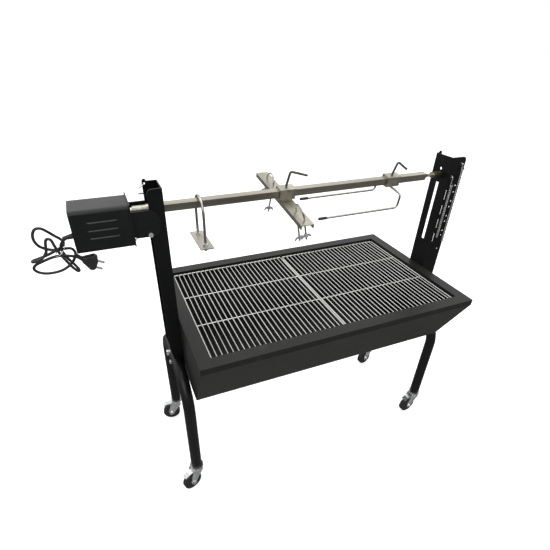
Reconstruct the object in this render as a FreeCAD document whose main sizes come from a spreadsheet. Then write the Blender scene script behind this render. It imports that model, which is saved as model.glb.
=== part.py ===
import FreeCAD, Part
import math
import os

import Sketcher
from FreeCAD import Placement, Rotation, Vector

# Spit roaster on castors: a V-shaped charcoal trough between two slotted posts that carry a
# motor-driven spit. Millimetres, +Z up, +X along the trough away from the motor, origin on the
# floor below the middle of the trough.

DIMENSIONS = {
    # trough
    "rim_length": 960.0, "rim_width": 581.0, "rim_top": 681.0, "rim_flange": 39.5,
    "rim_lip": 20.0, "plate": 2.0, "ledge_drop": 17.0, "ledge_width": 10.0,
    "trough_floor": 461.5, "trough_floor_half": 187.0,
    # grates
    "grate_gap": 1.5, "grate_top": 674.0, "grate_rod": 1.8, "grate_cross": 2.2,
    "grate_border": 3.0, "grate_cross_y": 83.0, "grate_rods": 25.0,
    # posts
    "post_face": 480.0, "post_plate": 3.0, "post_half": 38.0, "post_top": 1090.0,
    "post_left_edge": 520.0, "post_right_edge": 542.0, "post_flange_foot": 521.0,
    "post_web_foot": 470.0, "post_back_edge": 500.0, "post_ear": 7.0, "post_ear_width": 12.0,
    "post_taper": 50.0,
    "web_hole_y": 3.0, "web_hole_z": 1046.0, "web_hole_radius": 5.0,
    "web_slot_low": 785.0, "web_slot_high": 1000.0, "web_slot_half": 7.0,
    "flange_slot_x": 492.5, "flange_slot_half": 2.2, "flange_hole_x": 526.5,
    "flange_hole_radius": 3.2, "inner_hook_x": 497.0,
    # leg frames
    "leg_x": 502.2, "leg_front": -162.0, "leg_back": 186.0, "leg_radius": 19.0, "leg_wall": 1.5,
    "leg_bar_height": 501.0, "leg_foot": 112.0, "leg_bend": 120.0,
    # castors
    "wheel_radius": 35.0, "wheel_half": 11.0, "wheel_trail": 26.0, "axle_radius": 4.0,
    "running_gap": 0.06, "stem_radius": 5.5, "fork_half": 15.5, "fork_plate": 2.5,
    "fork_crown": 100.0, "crown_radius": 24.0, "crown_plate": 6.0,
    # spit
    "axis_height": 1027.6, "spit_half": 10.5, "spit_left": -515.0, "spit_right": 410.0,
    "spit_roll": 8.7, "neck_radius": 7.0, "waist_radius": 5.0,
    "neck_ring": 9.5, "neck_ring_x": 441.0, "neck_end": 499.0, "bush_inner": 453.0,
    "bush_outer": 487.0, "bush_radius": 10.75,
    "coupling_left": -558.0, "coupling_radius": 11.0, "shaft_radius": 8.0,
    # sliding fittings
    "collar_half": 17.0, "collar_bore": 10.75, "collar_length": 50.0, "bolt_radius": 3.6,
    "saddle_x": -379.0, "saddle_drop": 111.6, "saddle_width": 40.0, "saddle_span": 131.0,
    "saddle_plate": 3.0, "saddle_leg": 42.5, "saddle_rod": 3.75,
    "brace_x": -113.0, "brace_top": -21.0, "brace_near": -157.0, "brace_far": 188.0,
    "brace_width": 40.0, "brace_depth": 13.0, "brace_plate": 2.5, "brace_rod": 2.6,
    "tine_x": 271.0, "tine_rod": 3.4, "tine_half": 65.5, "tine_drop": -67.0, "tine_end": -24.0,
    "tine_sleeve": 29.0, "tine_bend": 12.0,
    # motor
    "motor_left": -711.0, "motor_right": -570.0, "motor_front": -58.0, "motor_back": 40.0,
    "motor_low": 955.0, "motor_high": 1061.0, "motor_plate": 1.5, "motor_bend": 11.0,
    "louvre_left": -673.0, "louvre_length": 70.0, "louvre_gap": 3.0, "clamp_x": -525.0,
    "clamp_z": 971.0, "clamp_radius": 3.6,
    "mount_plate": 3.0, "mount_margin": 3.0, "strap_left": -567.0, "strap_right": -495.0,
    "strap_low": 965.0, "strap_high": 1037.0, "strap_plate": 3.0,
    # chains and cord
    "link_wire": 1.0, "link_half": 5.9, "link_width": 4.2, "link_pitch": 7.7,
    "hook_wire": 1.8, "loop_radius": 7.5, "loop_wire": 1.2, "loop_x": -522.0, "loop_z": 1079.0,
    "cord_radius": 3.5, "hank_middle": -40.0, "hank_depth": 44.0, "plug_depth": 19.0,
}

doc = FreeCAD.newDocument("SpitRoaster")
sheet = doc.addObject("Spreadsheet::Sheet", "Dims")
for row, (alias, value) in enumerate(DIMENSIONS.items(), start=1):
    sheet.set(f"A{row}", alias)
    sheet.set(f"B{row}", str(value))
    sheet.setAlias(f"B{row}", alias)
doc.recompute()

nodes = []


def dim(alias):
    return float(getattr(sheet, alias))


def keep(node, label):
    node.Label = label
    nodes.append(node)
    return node


# ---------------------------------------------------------------- bound primitives

def place(piece, spots, rotation=None):
    if rotation is not None:
        piece.Placement = Placement(Vector(), rotation)
    for letter, spot in zip("xyz", spots):
        piece.setExpression("Placement.Base." + letter, spot)
    return piece


def box(name, lengths, spots, rotation=None):
    piece = doc.addObject("Part::Box", name)
    for side, length in zip(("Length", "Width", "Height"), lengths):
        piece.setExpression(side, length)
    return place(piece, spots, rotation)


ALONG_X = Rotation(Vector(0, 1, 0), 90)
ALONG_Y = Rotation(Vector(1, 0, 0), -90)


def cylinder(name, radius, length, spots, rotation=None):
    piece = doc.addObject("Part::Cylinder", name)
    piece.setExpression("Radius", radius)
    piece.setExpression("Height", length)
    return place(piece, spots, rotation)


def cut(name, base, tool):
    piece = doc.addObject("Part::Cut", name)
    piece.Base = base
    piece.Tool = tool
    return piece


def fuse(name, pieces):
    piece = doc.addObject("Part::MultiFuse", name)
    piece.Shapes = pieces
    return piece


def group(name, pieces):
    """One node of several separate solids."""
    piece = doc.addObject("Part::Compound", name)
    piece.Links = pieces
    return piece


def set_shape(name, shape):
    piece = doc.addObject("Part::Feature", name)
    piece.Shape = shape
    return piece


# ---------------------------------------------------------------- sketched bodies

def plane(body, role):
    return next(p for p in body.Origin.OriginFeatures if p.Role == role)


def sketch_on(body, role, offset=None):
    sketch = body.newObject("Sketcher::SketchObject", body.Name + "Sketch")
    sketch.AttachmentSupport = [(plane(body, role), "")]
    sketch.MapMode = "FlatFace"
    if offset:
        sketch.setExpression("AttachmentOffset.Base.z", offset)
    return sketch


def outline(sketch, points):
    """A closed polygon whose corners are bound to sheet expressions."""
    corners = [Vector(float(sketch.evalExpression(a)), float(sketch.evalExpression(b)), 0)
               for a, b in points]
    first = sketch.GeometryCount
    count = len(corners)
    for i in range(count):
        sketch.addGeometry(Part.LineSegment(corners[i], corners[(i + 1) % count]), False)
    for i in range(count):
        joined = first + (i + 1) % count
        sketch.addConstraint(Sketcher.Constraint("Coincident", first + i, 2, joined, 1))
    for i, (a, b) in enumerate(points):
        for kind, spot, value in (("DistanceX", a, corners[i].x), ("DistanceY", b, corners[i].y)):
            number = sketch.addConstraint(
                Sketcher.Constraint(kind, -1, 1, first + i, 1, value))
            sketch.setExpression(f"Constraints[{number}]", spot)


def ring(sketch, a, b, radius):
    centre = Vector(float(sketch.evalExpression(a)), float(sketch.evalExpression(b)), 0)
    size = float(sketch.evalExpression(radius))
    number = sketch.addGeometry(Part.Circle(centre, Vector(0, 0, 1), size), False)
    for kind, spot, value in (("DistanceX", a, centre.x), ("DistanceY", b, centre.y)):
        bound = sketch.addConstraint(Sketcher.Constraint(kind, -1, 1, number, 3, value))
        sketch.setExpression(f"Constraints[{bound}]", spot)
    bound = sketch.addConstraint(Sketcher.Constraint("Radius", number, size))
    sketch.setExpression(f"Constraints[{bound}]", radius)


def rectangle(a_low, b_low, a_high, b_high):
    return [(a_low, b_low), (a_high, b_low), (a_high, b_high), (a_low, b_high)]


def pad(body, sketch, length, both_ways=False, backwards=False):
    feature = body.newObject("PartDesign::Pad", body.Name + "Pad")
    feature.Profile = sketch
    feature.setExpression("Length", length)
    feature.Midplane = both_ways
    feature.Reversed = backwards
    return feature


def pocket(body, sketch, length, both_ways=False, backwards=False):
    doc.recompute()
    before = body.Shape.Volume
    feature = body.newObject("PartDesign::Pocket", body.Name + "Pocket")
    feature.Profile = sketch
    feature.setExpression("Length", length)
    feature.Midplane = both_ways
    feature.Reversed = backwards
    doc.recompute()
    if body.Shape.Volume > before - 1:
        raise RuntimeError(body.Name + ": a pocket cut nothing")
    return feature


def new_body(name):
    return doc.addObject("PartDesign::Body", name)


# ---------------------------------------------------------------- bent rods

def rounded_path(points, bend):
    """Straight runs joined by tangent arcs of one radius."""
    points = [Vector(*p) for p in points]
    edges = []
    start = points[0]
    for before, corner, after in zip(points, points[1:], points[2:]):
        into = (corner - before).normalize()
        out = (after - corner).normalize()
        turn = into.getAngle(out)
        back = bend * math.tan(turn / 2)
        a = corner - into * back
        b = corner + out * back
        inward = (out - into).normalize()
        centre = corner + inward * (bend / math.cos(turn / 2))
        edges.append(Part.LineSegment(start, a).toShape())
        edges.append(Part.Arc(a, centre - inward * bend, b).toShape())
        start = b
    edges.append(Part.LineSegment(start, points[-1]).toShape())
    return Part.Wire(edges)


def rod(points, radius, bend):
    wire = rounded_path(points, bend)
    first = Vector(*points[0])
    profile = Part.Wire([Part.makeCircle(radius, first, Vector(*points[1]) - first)])
    return wire.makePipeShell([profile], True, False)


def arched_rod(low_a, low_b, half, top, radius, offset):
    """A U-bolt in the local Y-Z plane: two legs and a half-round top."""
    centre = top - half - radius
    path = Part.Wire([
        Part.LineSegment(Vector(0, offset - half, low_a), Vector(0, offset - half, centre)).toShape(),
        Part.Arc(Vector(0, offset - half, centre), Vector(0, offset, centre + half),
                 Vector(0, offset + half, centre)).toShape(),
        Part.LineSegment(Vector(0, offset + half, centre), Vector(0, offset + half, low_b)).toShape()])
    profile = Part.Wire([Part.makeCircle(radius, Vector(0, offset - half, low_a), Vector(0, 0, 1))])
    return path.makePipeShell([profile], True, False)


def hexagon(across, height, spot, axis=(0, 0, 1)):
    corners = [Vector(across / math.sqrt(3) * math.cos(math.radians(60 * k)),
                      across / math.sqrt(3) * math.sin(math.radians(60 * k)), 0) for k in range(7)]
    nut = Part.Face(Part.makePolygon(corners)).extrude(Vector(0, 0, height))
    nut.Placement = Placement(Vector(*spot), Rotation(Vector(0, 0, 1), Vector(*axis)))
    return nut


# ---------------------------------------------------------------- trough

HALF_LENGTH = "Dims.rim_length / 2"
HALF_WIDTH = "Dims.rim_width / 2"


def make_rim():
    """Flat flange with an outer lip and, round the opening, a stepped ledge for the grates."""
    body = new_body("Rim")
    inner_a = f"{HALF_LENGTH} - Dims.rim_flange"
    inner_b = f"{HALF_WIDTH} - Dims.rim_flange"

    def frame(half_a, half_b):
        return rectangle(f"-({half_a})", f"-({half_b})", half_a, half_b)

    flange = sketch_on(body, "XY_Plane", "Dims.rim_top - Dims.plate")
    outline(flange, frame(HALF_LENGTH, HALF_WIDTH))
    outline(flange, frame(inner_a, inner_b))
    pad(body, flange, "Dims.plate")
    lip = sketch_on(body, "XY_Plane", "Dims.rim_top - Dims.rim_lip")
    outline(lip, frame(HALF_LENGTH, HALF_WIDTH))
    outline(lip, frame(f"{HALF_LENGTH} - Dims.plate", f"{HALF_WIDTH} - Dims.plate"))
    pad(body, lip, "Dims.rim_lip - Dims.plate")
    fold = sketch_on(body, "XY_Plane", "Dims.rim_top - Dims.ledge_drop")
    outline(fold, frame(f"{inner_a} + Dims.plate", f"{inner_b} + Dims.plate"))
    outline(fold, frame(inner_a, inner_b))
    pad(body, fold, "Dims.ledge_drop - Dims.plate")
    ledge = sketch_on(body, "XY_Plane", "Dims.rim_top - Dims.ledge_drop")
    outline(ledge, frame(f"{inner_a} + Dims.plate", f"{inner_b} + Dims.plate"))
    outline(ledge, frame(f"{inner_a} - Dims.ledge_width", f"{inner_b} - Dims.ledge_width"))
    body.Tip = pad(body, ledge, "Dims.plate")
    return keep(body, "firebox_rim")


def make_panel(label, side):
    """Sloping long wall, side -1 in front and +1 behind."""
    body = new_body("Panel" + ("Front" if side < 0 else "Back"))
    profile = sketch_on(body, "YZ_Plane")
    top = "Dims.rim_top - Dims.rim_lip"
    thick = "Dims.plate * 1.13"
    outline(profile, [
        (f"{side} * ({HALF_WIDTH})", top),
        (f"{side} * Dims.trough_floor_half", "Dims.trough_floor"),
        (f"{side} * (Dims.trough_floor_half - {thick})", "Dims.trough_floor"),
        (f"{side} * ({HALF_WIDTH} - {thick})", top)])
    body.Tip = pad(body, profile, "Dims.rim_length - 2 * Dims.plate", both_ways=True)
    return keep(body, label)


def make_end(label, side):
    """Upright end wall of the trough."""
    body = new_body("End" + ("Left" if side < 0 else "Right"))
    profile = sketch_on(body, "YZ_Plane", f"{side} * ({HALF_LENGTH})")
    top = "Dims.rim_top - Dims.rim_lip"
    outline(profile, [
        (f"-({HALF_WIDTH})", top), ("-Dims.trough_floor_half", "Dims.trough_floor"),
        ("Dims.trough_floor_half", "Dims.trough_floor"), (HALF_WIDTH, top)])
    body.Tip = pad(body, profile, "Dims.plate", backwards=side > 0)
    return keep(body, label)


def make_trough():
    make_rim()
    make_panel("firebox_panel_front", -1)
    make_panel("firebox_panel_back", 1)
    make_end("firebox_end_left", -1)
    make_end("firebox_end_right", 1)
    half = "Dims.trough_floor_half - Dims.plate * 1.13"
    floor = box("Floor", ["Dims.rim_length - 2 * Dims.plate", f"2 * ({half})", "Dims.plate"],
                [f"-({HALF_LENGTH} - Dims.plate)", f"-({half})", "Dims.trough_floor"])
    keep(floor, "firebox_floor")


def make_grate(label, side):
    """Welded grate: rods across, two cross rods below them and a border rod all round."""
    inner = dim("rim_length") / 2 - dim("rim_flange")
    low, high = sorted((side * dim("grate_gap") / 2, side * (inner - dim("grate_gap"))))
    half = dim("rim_width") / 2 - dim("rim_flange") - dim("grate_gap")
    border = dim("grate_border")
    rods = int(dim("grate_rods"))
    rod_z = dim("grate_top") - dim("grate_rod")
    border_z = dim("rim_top") - dim("ledge_drop") + dim("plate") + border + 0.3
    a_low, a_high = low + border, high - border
    b = half - border
    shapes = []
    for y in (-b, b):
        shapes.append(Part.makeCylinder(border, a_high - a_low, Vector(a_low, y, border_z),
                                        Vector(1, 0, 0)))
    for x in (a_low, a_high):
        shapes.append(Part.makeCylinder(border, 2 * b, Vector(x, -b, border_z), Vector(0, 1, 0)))
        for y in (-b, b):
            shapes.append(Part.makeSphere(border, Vector(x, y, border_z)))
    cross_z = rod_z - dim("grate_rod") - dim("grate_cross") + 1.5
    for y in (-dim("grate_cross_y"), dim("grate_cross_y")):
        shapes.append(Part.makeCylinder(dim("grate_cross"), a_high - a_low,
                                        Vector(a_low, y, cross_z), Vector(1, 0, 0)))
    for i in range(rods):
        x = a_low + (a_high - a_low) * (i + 1) / (rods + 1)
        shapes.append(Part.makeCylinder(dim("grate_rod"), 2 * b, Vector(x, -b, rod_z),
                                        Vector(0, 1, 0)))
    return keep(set_shape("Grate" + ("Left" if side < 0 else "Right"),
                          shapes[0].fuse(shapes[1:])), label)


# ---------------------------------------------------------------- posts

def make_post(label, side, edge, back_edge, slots, holes):
    """Folded channel, its web against the trough's end and its flanges pointing outwards."""
    body = new_body("Post" + ("Left" if side < 0 else "Right"))
    web = f"{side} * (Dims.post_face + Dims.post_plate)"
    face = f"{side} * Dims.post_face"
    rim = f"{side} * {edge}"
    back_rim = f"{side} * {back_edge}"
    half = "Dims.post_half"
    inside = "(Dims.post_half - Dims.post_plate)"
    channel = sketch_on(body, "XY_Plane", "Dims.post_web_foot")
    outline(channel, [(face, f"-{half}"), (rim, f"-{half}"), (rim, f"-{inside}"),
                      (web, f"-{inside}"), (web, inside), (back_rim, inside), (back_rim, half),
                      (face, half)])
    pad(body, channel, "Dims.post_top + Dims.post_ear - Dims.post_web_foot")

    feet = sketch_on(body, "XZ_Plane")
    past = f"{side} * ({edge} + 5)"
    outline(feet, [(web, "Dims.post_web_foot - 5"), (past, "Dims.post_web_foot - 5"),
                   (past, "Dims.post_flange_foot + Dims.post_taper"),
                   (rim, "Dims.post_flange_foot + Dims.post_taper"),
                   (f"{side} * ({edge} - 9)", "Dims.post_flange_foot"),
                   (web, "Dims.post_flange_foot")])
    pocket(body, feet, "4 * Dims.post_half", both_ways=True)
    # web and front flange end level, with the flange's outer corner rounded
    top = sketch_on(body, "XZ_Plane", f"-{inside}")
    outline(top, [(f"{side} * (Dims.post_face - 5)", "Dims.post_top + 20"),
                  (past, "Dims.post_top + 20"), (past, "Dims.post_top - 12"),
                  (rim, "Dims.post_top - 12"), (f"{side} * ({edge} - 4)", "Dims.post_top - 3"),
                  (f"{side} * ({edge} - 12)", "Dims.post_top"),
                  (f"{side} * (Dims.post_face - 5)", "Dims.post_top")])
    pocket(body, top, "4 * Dims.post_half", backwards=True)
    # the back flange keeps an ear at its outer edge
    ear = sketch_on(body, "XZ_Plane", f"-{inside}")
    ear_start = f"{side} * ({back_edge} - Dims.post_ear_width)"
    outline(ear, [(f"{side} * (Dims.post_face - 5)", "Dims.post_top"), (ear_start, "Dims.post_top"),
                  (f"{side} * ({back_edge} - Dims.post_ear_width + 3)",
                   "Dims.post_top + Dims.post_ear - 2"),
                  (f"{side} * ({back_edge} - 4)", "Dims.post_top + Dims.post_ear - 1"),
                  (back_rim, "Dims.post_top + 1"), (past, "Dims.post_top + 1"),
                  (past, "Dims.post_top + 20"),
                  (f"{side} * (Dims.post_face - 5)", "Dims.post_top + 20")])
    pocket(body, ear, "Dims.post_half")

    through = sketch_on(body, "YZ_Plane")
    if side > 0:
        outline(through, rectangle("-Dims.web_slot_half + 2.5", "Dims.web_slot_low",
                                   "Dims.web_slot_half + 2.5", "Dims.web_slot_high"))
        ring(through, "0.001", "Dims.axis_height", "Dims.bush_radius + Dims.running_gap")
        ring(through, "Dims.web_hole_y", "Dims.web_hole_z", "Dims.web_hole_radius")
    else:
        ring(through, "0.001", "Dims.axis_height", "Dims.spit_half * 1.6")
    pocket(body, through, "4 * Dims.post_right_edge", both_ways=True)
    if slots or holes:
        front = sketch_on(body, "XZ_Plane", "Dims.post_half + 1")
        for low, high in slots:
            outline(front, rectangle(f"{side} * Dims.flange_slot_x - Dims.flange_slot_half",
                                     f"Dims.rim_top + {low}",
                                     f"{side} * Dims.flange_slot_x + Dims.flange_slot_half",
                                     f"Dims.rim_top + {high}"))
        for height in holes:
            ring(front, f"{side} * Dims.flange_hole_x", f"Dims.rim_top + {height}",
                 "Dims.flange_hole_radius")
        ring(front, "Dims.inner_hook_x", f"Dims.rim_top + {INNER_HOOK_HOLE}",
             "Dims.flange_hole_radius")
        body.Tip = pocket(body, front, "Dims.post_plate + 2")
    else:
        eye = sketch_on(body, "XZ_Plane", "-Dims.post_half + Dims.post_plate + 1")
        ring(eye, "Dims.loop_x + Dims.loop_radius", "Dims.loop_z + 4.3", "2.8")
        body.Tip = pocket(body, eye, "Dims.post_plate + 2")
    return keep(body, label)


# heights above the rim: short slots, the row of holes by the flange's edge, the inner hook's hole
FLANGE_SLOTS = [(265, 300), (211, 246), (158, 194), (104, 138)]
FLANGE_HOLES = [388, 313, 290, 257, 236, 202, 181, 145, 126, 71]
INNER_HOOK_HOLE = 346


# ---------------------------------------------------------------- legs and castors

def make_leg_frame(label, side):
    """One tube bent into an upside-down U, closed at the foot by the castor socket."""
    x = side * dim("leg_x")
    path = [(x, dim("leg_front"), dim("leg_foot")), (x, dim("leg_front"), dim("leg_bar_height")),
            (x, dim("leg_back"), dim("leg_bar_height")), (x, dim("leg_back"), dim("leg_foot"))]
    outer = rod(path, dim("leg_radius"), dim("leg_bend"))
    inner = rod(path, dim("leg_radius") - dim("leg_wall"), dim("leg_bend"))
    return keep(set_shape("Legs" + ("Left" if side < 0 else "Right"), outer.cut(inner)), label)


# side, leg and the way that the wheel trails, in degrees from +X
CASTORS = {"front_left": (-1, "leg_front", 200), "front_right": (1, "leg_front", 185),
           "back_left": (-1, "leg_back", 170), "back_right": (1, "leg_back", 190)}


def make_socket(name, side, leg):
    """Plug in the leg's foot with a plain hole for the castor's stem."""
    x = f"{side} * Dims.leg_x"
    inner = "Dims.leg_radius - Dims.leg_wall"
    plug = fuse(name + "Plug", [
        cylinder(name + "Core", inner, "35", [x, f"Dims.{leg}", "Dims.leg_foot"]),
        cylinder(name + "Washer", "Dims.leg_radius", "4", [x, f"Dims.{leg}", "Dims.leg_foot - 4"])])
    hole = cylinder(name + "Hole", "Dims.stem_radius + Dims.running_gap", "60",
                    [x, f"Dims.{leg}", "Dims.leg_foot - 10"])
    return cut(name, plug, hole)


def make_castor(corner, side, leg, turn):
    """Swivel fork, wheel and brake lever, drawn trailing along +X and then turned."""
    word = "".join(part.title() for part in corner.split("_"))
    gap = dim("running_gap")
    radius = dim("wheel_radius")
    trail = dim("wheel_trail")
    half = dim("fork_half")
    plate = dim("fork_plate")
    crown = dim("fork_crown")
    round_crown = Part.makeCylinder(dim("crown_radius"), dim("crown_plate"),
                                    Vector(0, 0, crown))
    stem = Part.makeCylinder(dim("stem_radius"), 30, Vector(0, 0, crown + 4))
    bearing = Part.makeCylinder(dim("crown_radius") * 0.78, 4, Vector(0, 0, crown - 3))
    top = Part.makeBox(38, 2 * half, plate, Vector(-16, -half, crown - plate - 0.5))
    shapes = [round_crown, stem, bearing, top]
    for y in (-half, half - plate):
        cheek = Part.makePolygon([
            Vector(-16, y, crown - 1), Vector(22, y, crown - 1), Vector(trail + 12, y, radius + 8),
            Vector(trail + 8, y, radius - 9), Vector(trail - 8, y, radius - 9),
            Vector(trail - 14, y, radius + 6), Vector(-16, y, crown - 22),
            Vector(-16, y, crown - 1)])
        shapes.append(Part.Face(cheek).extrude(Vector(0, plate, 0)))
    shapes.append(Part.makeCylinder(dim("axle_radius"), 2 * half + 6,
                                    Vector(trail, -half - 3, radius), Vector(0, 1, 0)))
    for y in (-half - 5, half):
        shapes.append(hexagon(13, 5, (trail, y, radius), (0, 1, 0)))
    pivot_x, pivot_z = trail - 22, radius + 50
    brake_hole = Part.makeCylinder(3 + gap, 4 * half, Vector(pivot_x, -2 * half, pivot_z),
                                   Vector(0, 1, 0))
    fork = shapes[0].fuse(shapes[1:]).cut(brake_hole)
    wheel_half = dim("wheel_half")
    tyre = Part.makeCylinder(radius, 2 * wheel_half, Vector(trail, -wheel_half, radius),
                             Vector(0, 1, 0))
    tyre = tyre.makeFillet(4, [e for e in tyre.Edges if e.Closed and e.Length > 6 * radius])
    hub = Part.makeCylinder(11, 2 * wheel_half + 2.4, Vector(trail, -wheel_half - 1.2, radius),
                            Vector(0, 1, 0))
    bore = Part.makeCylinder(dim("axle_radius") + gap, 60, Vector(trail, -30, radius),
                             Vector(0, 1, 0))
    wheel = tyre.fuse([hub]).cut(bore)
    pin = Part.makeCylinder(3, 2 * half + 3, Vector(pivot_x, -half - 1.5, pivot_z), Vector(0, 1, 0))
    arm = Part.makePolygon([
        Vector(pivot_x - 5, -10, pivot_z + 3), Vector(pivot_x + 4, -10, pivot_z + 5),
        Vector(trail + 14, -10, pivot_z + 1), Vector(trail + 30, -10, pivot_z - 7),
        Vector(trail + 29, -10, pivot_z - 10), Vector(trail + 13, -10, pivot_z - 2.5),
        Vector(pivot_x, -10, pivot_z - 4), Vector(pivot_x - 5, -10, pivot_z + 3)])
    brake = pin.fuse([Part.Face(arm).extrude(Vector(0, 20, 0))])
    spot = Placement(Vector(side * dim("leg_x"), dim(leg), 0),
                     Rotation(Vector(0, 0, 1), turn))
    for piece, shape in (("fork", fork), ("wheel", wheel), ("brake", brake)):
        feature = set_shape("Castor" + word + piece.title(), shape)
        feature.Placement = spot
        keep(feature, f"castor_{corner}_{piece}")


# ---------------------------------------------------------------- spit and its fittings

AXIS = "Dims.axis_height"


def rolled(feature, x=0.0):
    """Puts a piece drawn about the spit's own axis in place, rolled with the spit."""
    feature.Placement = Placement(Vector(x, 0, dim("axis_height")),
                                  Rotation(Vector(1, 0, 0), dim("spit_roll")))
    return feature


def make_spit():
    half = dim("spit_half")
    length = dim("spit_right") - dim("spit_left")
    bar = Part.makeBox(length, 2 * half, 2 * half, Vector(dim("spit_left"), -half, -half))
    right = dim("spit_right")
    waist_start, ring_start = right + 12, dim("neck_ring_x")
    shoulder = Part.makeCone(half, dim("waist_radius"), 12, Vector(right, 0, 0), Vector(1, 0, 0))
    waist = Part.makeCylinder(dim("waist_radius"), ring_start - waist_start,
                              Vector(waist_start, 0, 0), Vector(1, 0, 0))
    collar = Part.makeCylinder(dim("neck_ring"), 5, Vector(ring_start, 0, 0), Vector(1, 0, 0))
    neck = Part.makeCylinder(dim("neck_radius"), dim("neck_end") - ring_start,
                             Vector(ring_start, 0, 0), Vector(1, 0, 0))
    spit = bar.fuse([shoulder, waist, collar, neck])
    keep(rolled(set_shape("Spit", spit)), "spit_bar")
    left, right = dim("coupling_left"), dim("spit_left")
    coupling = Part.makeCylinder(dim("coupling_radius"), right - left, Vector(left, 0, 0),
                                 Vector(1, 0, 0))
    shaft = Part.makeCylinder(dim("shaft_radius"), 40, Vector(left - 40, 0, 0), Vector(1, 0, 0))
    nose = Part.makeCylinder(dim("coupling_radius") + 2, 8, Vector(right - 8, 0, 0),
                             Vector(1, 0, 0))
    keep(rolled(set_shape("Coupling", coupling.fuse([shaft, nose]))), "spit_coupling")
    tube = cylinder("BushTube", "Dims.bush_radius", "Dims.bush_outer - Dims.bush_inner",
                    ["Dims.bush_inner", "0", AXIS], ALONG_X)
    bore = cylinder("BushBore", "Dims.neck_radius + Dims.running_gap", "80",
                    ["Dims.bush_inner - 20", "0", AXIS], ALONG_X)
    keep(cut("Bush", tube, bore), "spit_bushing")


def make_saddle():
    """Leg bracket: a U-bolt over the spit with a drilled clamp plate below."""
    top = dim("collar_half") + 5.2
    drop = -dim("saddle_drop")
    low = drop - 16
    shape = arched_rod(low, low, dim("saddle_leg"), top, dim("saddle_rod"), 0)
    base = Placement(Vector(dim("saddle_x"), 0, dim("axis_height")), Rotation())
    ubolt = set_shape("SaddleBolt", shape)
    ubolt.Placement = base
    keep(ubolt, "leg_bracket_ubolt")
    thick = dim("saddle_plate")
    width, span = dim("saddle_width"), dim("saddle_span")
    plate = Part.makeBox(width, span, thick, Vector(-width / 2, -span / 2, drop - thick))
    plate = plate.makeFillet(6, [e for e in plate.Edges if abs(e.Length - thick) < 0.01])
    for y in (-dim("saddle_leg"), dim("saddle_leg")):
        plate = plate.cut(Part.makeCylinder(dim("saddle_rod"), 20, Vector(0, y, drop - 10)))
    plate_node = set_shape("SaddlePlate", plate)
    plate_node.Placement = base
    keep(plate_node, "leg_bracket_plate")
    nuts = []
    for y in (-dim("saddle_leg"), dim("saddle_leg")):
        nut = hexagon(13, 6, (0, y, drop - thick - 6))
        upper = hexagon(13, 5, (0, y, drop))
        bore = Part.makeCylinder(dim("saddle_rod"), 30, Vector(0, y, drop - 15))
        nuts += [nut.cut(bore), upper.cut(bore)]
    nut_node = set_shape("SaddleNuts", Part.makeCompound(nuts))
    nut_node.Placement = base
    keep(nut_node, "leg_bracket_nuts")


def square_collar(length):
    half = dim("collar_half")
    bore = dim("collar_bore")
    solid = Part.makeBox(length, 2 * half, 2 * half, Vector(-length / 2, -half, -half))
    solid = solid.makeFillet(2.5, [e for e in solid.Edges if abs(e.Length - length) < 0.01])
    solid = solid.cut(Part.makeBox(length + 2, 2 * bore, 2 * bore,
                                   Vector(-length / 2 - 1, -bore, -bore)))
    hole = Part.makeCylinder(dim("bolt_radius") + dim("running_gap"), 3 * half)
    return solid.cut(hole)


def lock_bolt(lean, height, arm, arm_drop):
    """L-shaped clamping bolt: threaded foot through the collar, bent into a handle."""
    foot = dim("collar_bore") + 0.3
    return rod([(0, 0, foot), (0, 0, dim("collar_half") + 7),
                (lean, 0, dim("collar_half") + height),
                (lean + arm, 0, dim("collar_half") + height - arm_drop)],
               dim("bolt_radius"), 4.5)


def bar_channel():
    """Brace bar: a channel with its web up and both long edges folded down."""
    width, depth, thick = dim("brace_width"), dim("brace_depth"), dim("brace_plate")
    near, far, top = dim("brace_near"), dim("brace_far"), dim("brace_top")
    span = far - near
    outer = Part.makeBox(width, span, depth, Vector(-width / 2, near, top - depth))
    inner = Part.makeBox(width - 2 * thick, span + 2, depth,
                         Vector(-width / 2 + thick, near - 1, top - depth - thick))
    riser = Part.makeBox(width - 6, 2 * dim("collar_half") - 4, 4.5,
                         Vector(-width / 2 + 3, -dim("collar_half") + 2, -dim("collar_half") - 4.5))
    return outer.cut(inner).fuse([riser])


# middle along the bar, half spread, crown height, foot nearer the front, foot farther, lean
BRACE_BOLTS = {"near": (-107.5, 27.0, 17.0, -86.0, -128.0, -15.0),
               "far": (116.0, 26.0, 8.0, -112.0, -74.0, 6.0)}


def wing_nut():
    """Hub with two raised wings, about its own upright axis, its top at zero."""
    hub = Part.makeCone(6.2, 5.0, 9, Vector(0, 0, -9))
    wings = []
    for side in (-1, 1):
        face = Part.Face(Part.makePolygon([
            Vector(side * 3, -1.2, -8.5), Vector(side * 7, -1.2, -8.5),
            Vector(side * 14, -1.2, -15), Vector(side * 16.5, -1.2, -13),
            Vector(side * 13, -1.2, -4), Vector(side * 5, -1.2, -1),
            Vector(side * 3, -1.2, -8.5)]))
        wings.append(face.extrude(Vector(0, 2.4, 0)))
    bore = Part.makeCylinder(dim("brace_rod") + dim("running_gap"), 40, Vector(0, 0, -25))
    return hub.fuse(wings).cut(bore)


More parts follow.
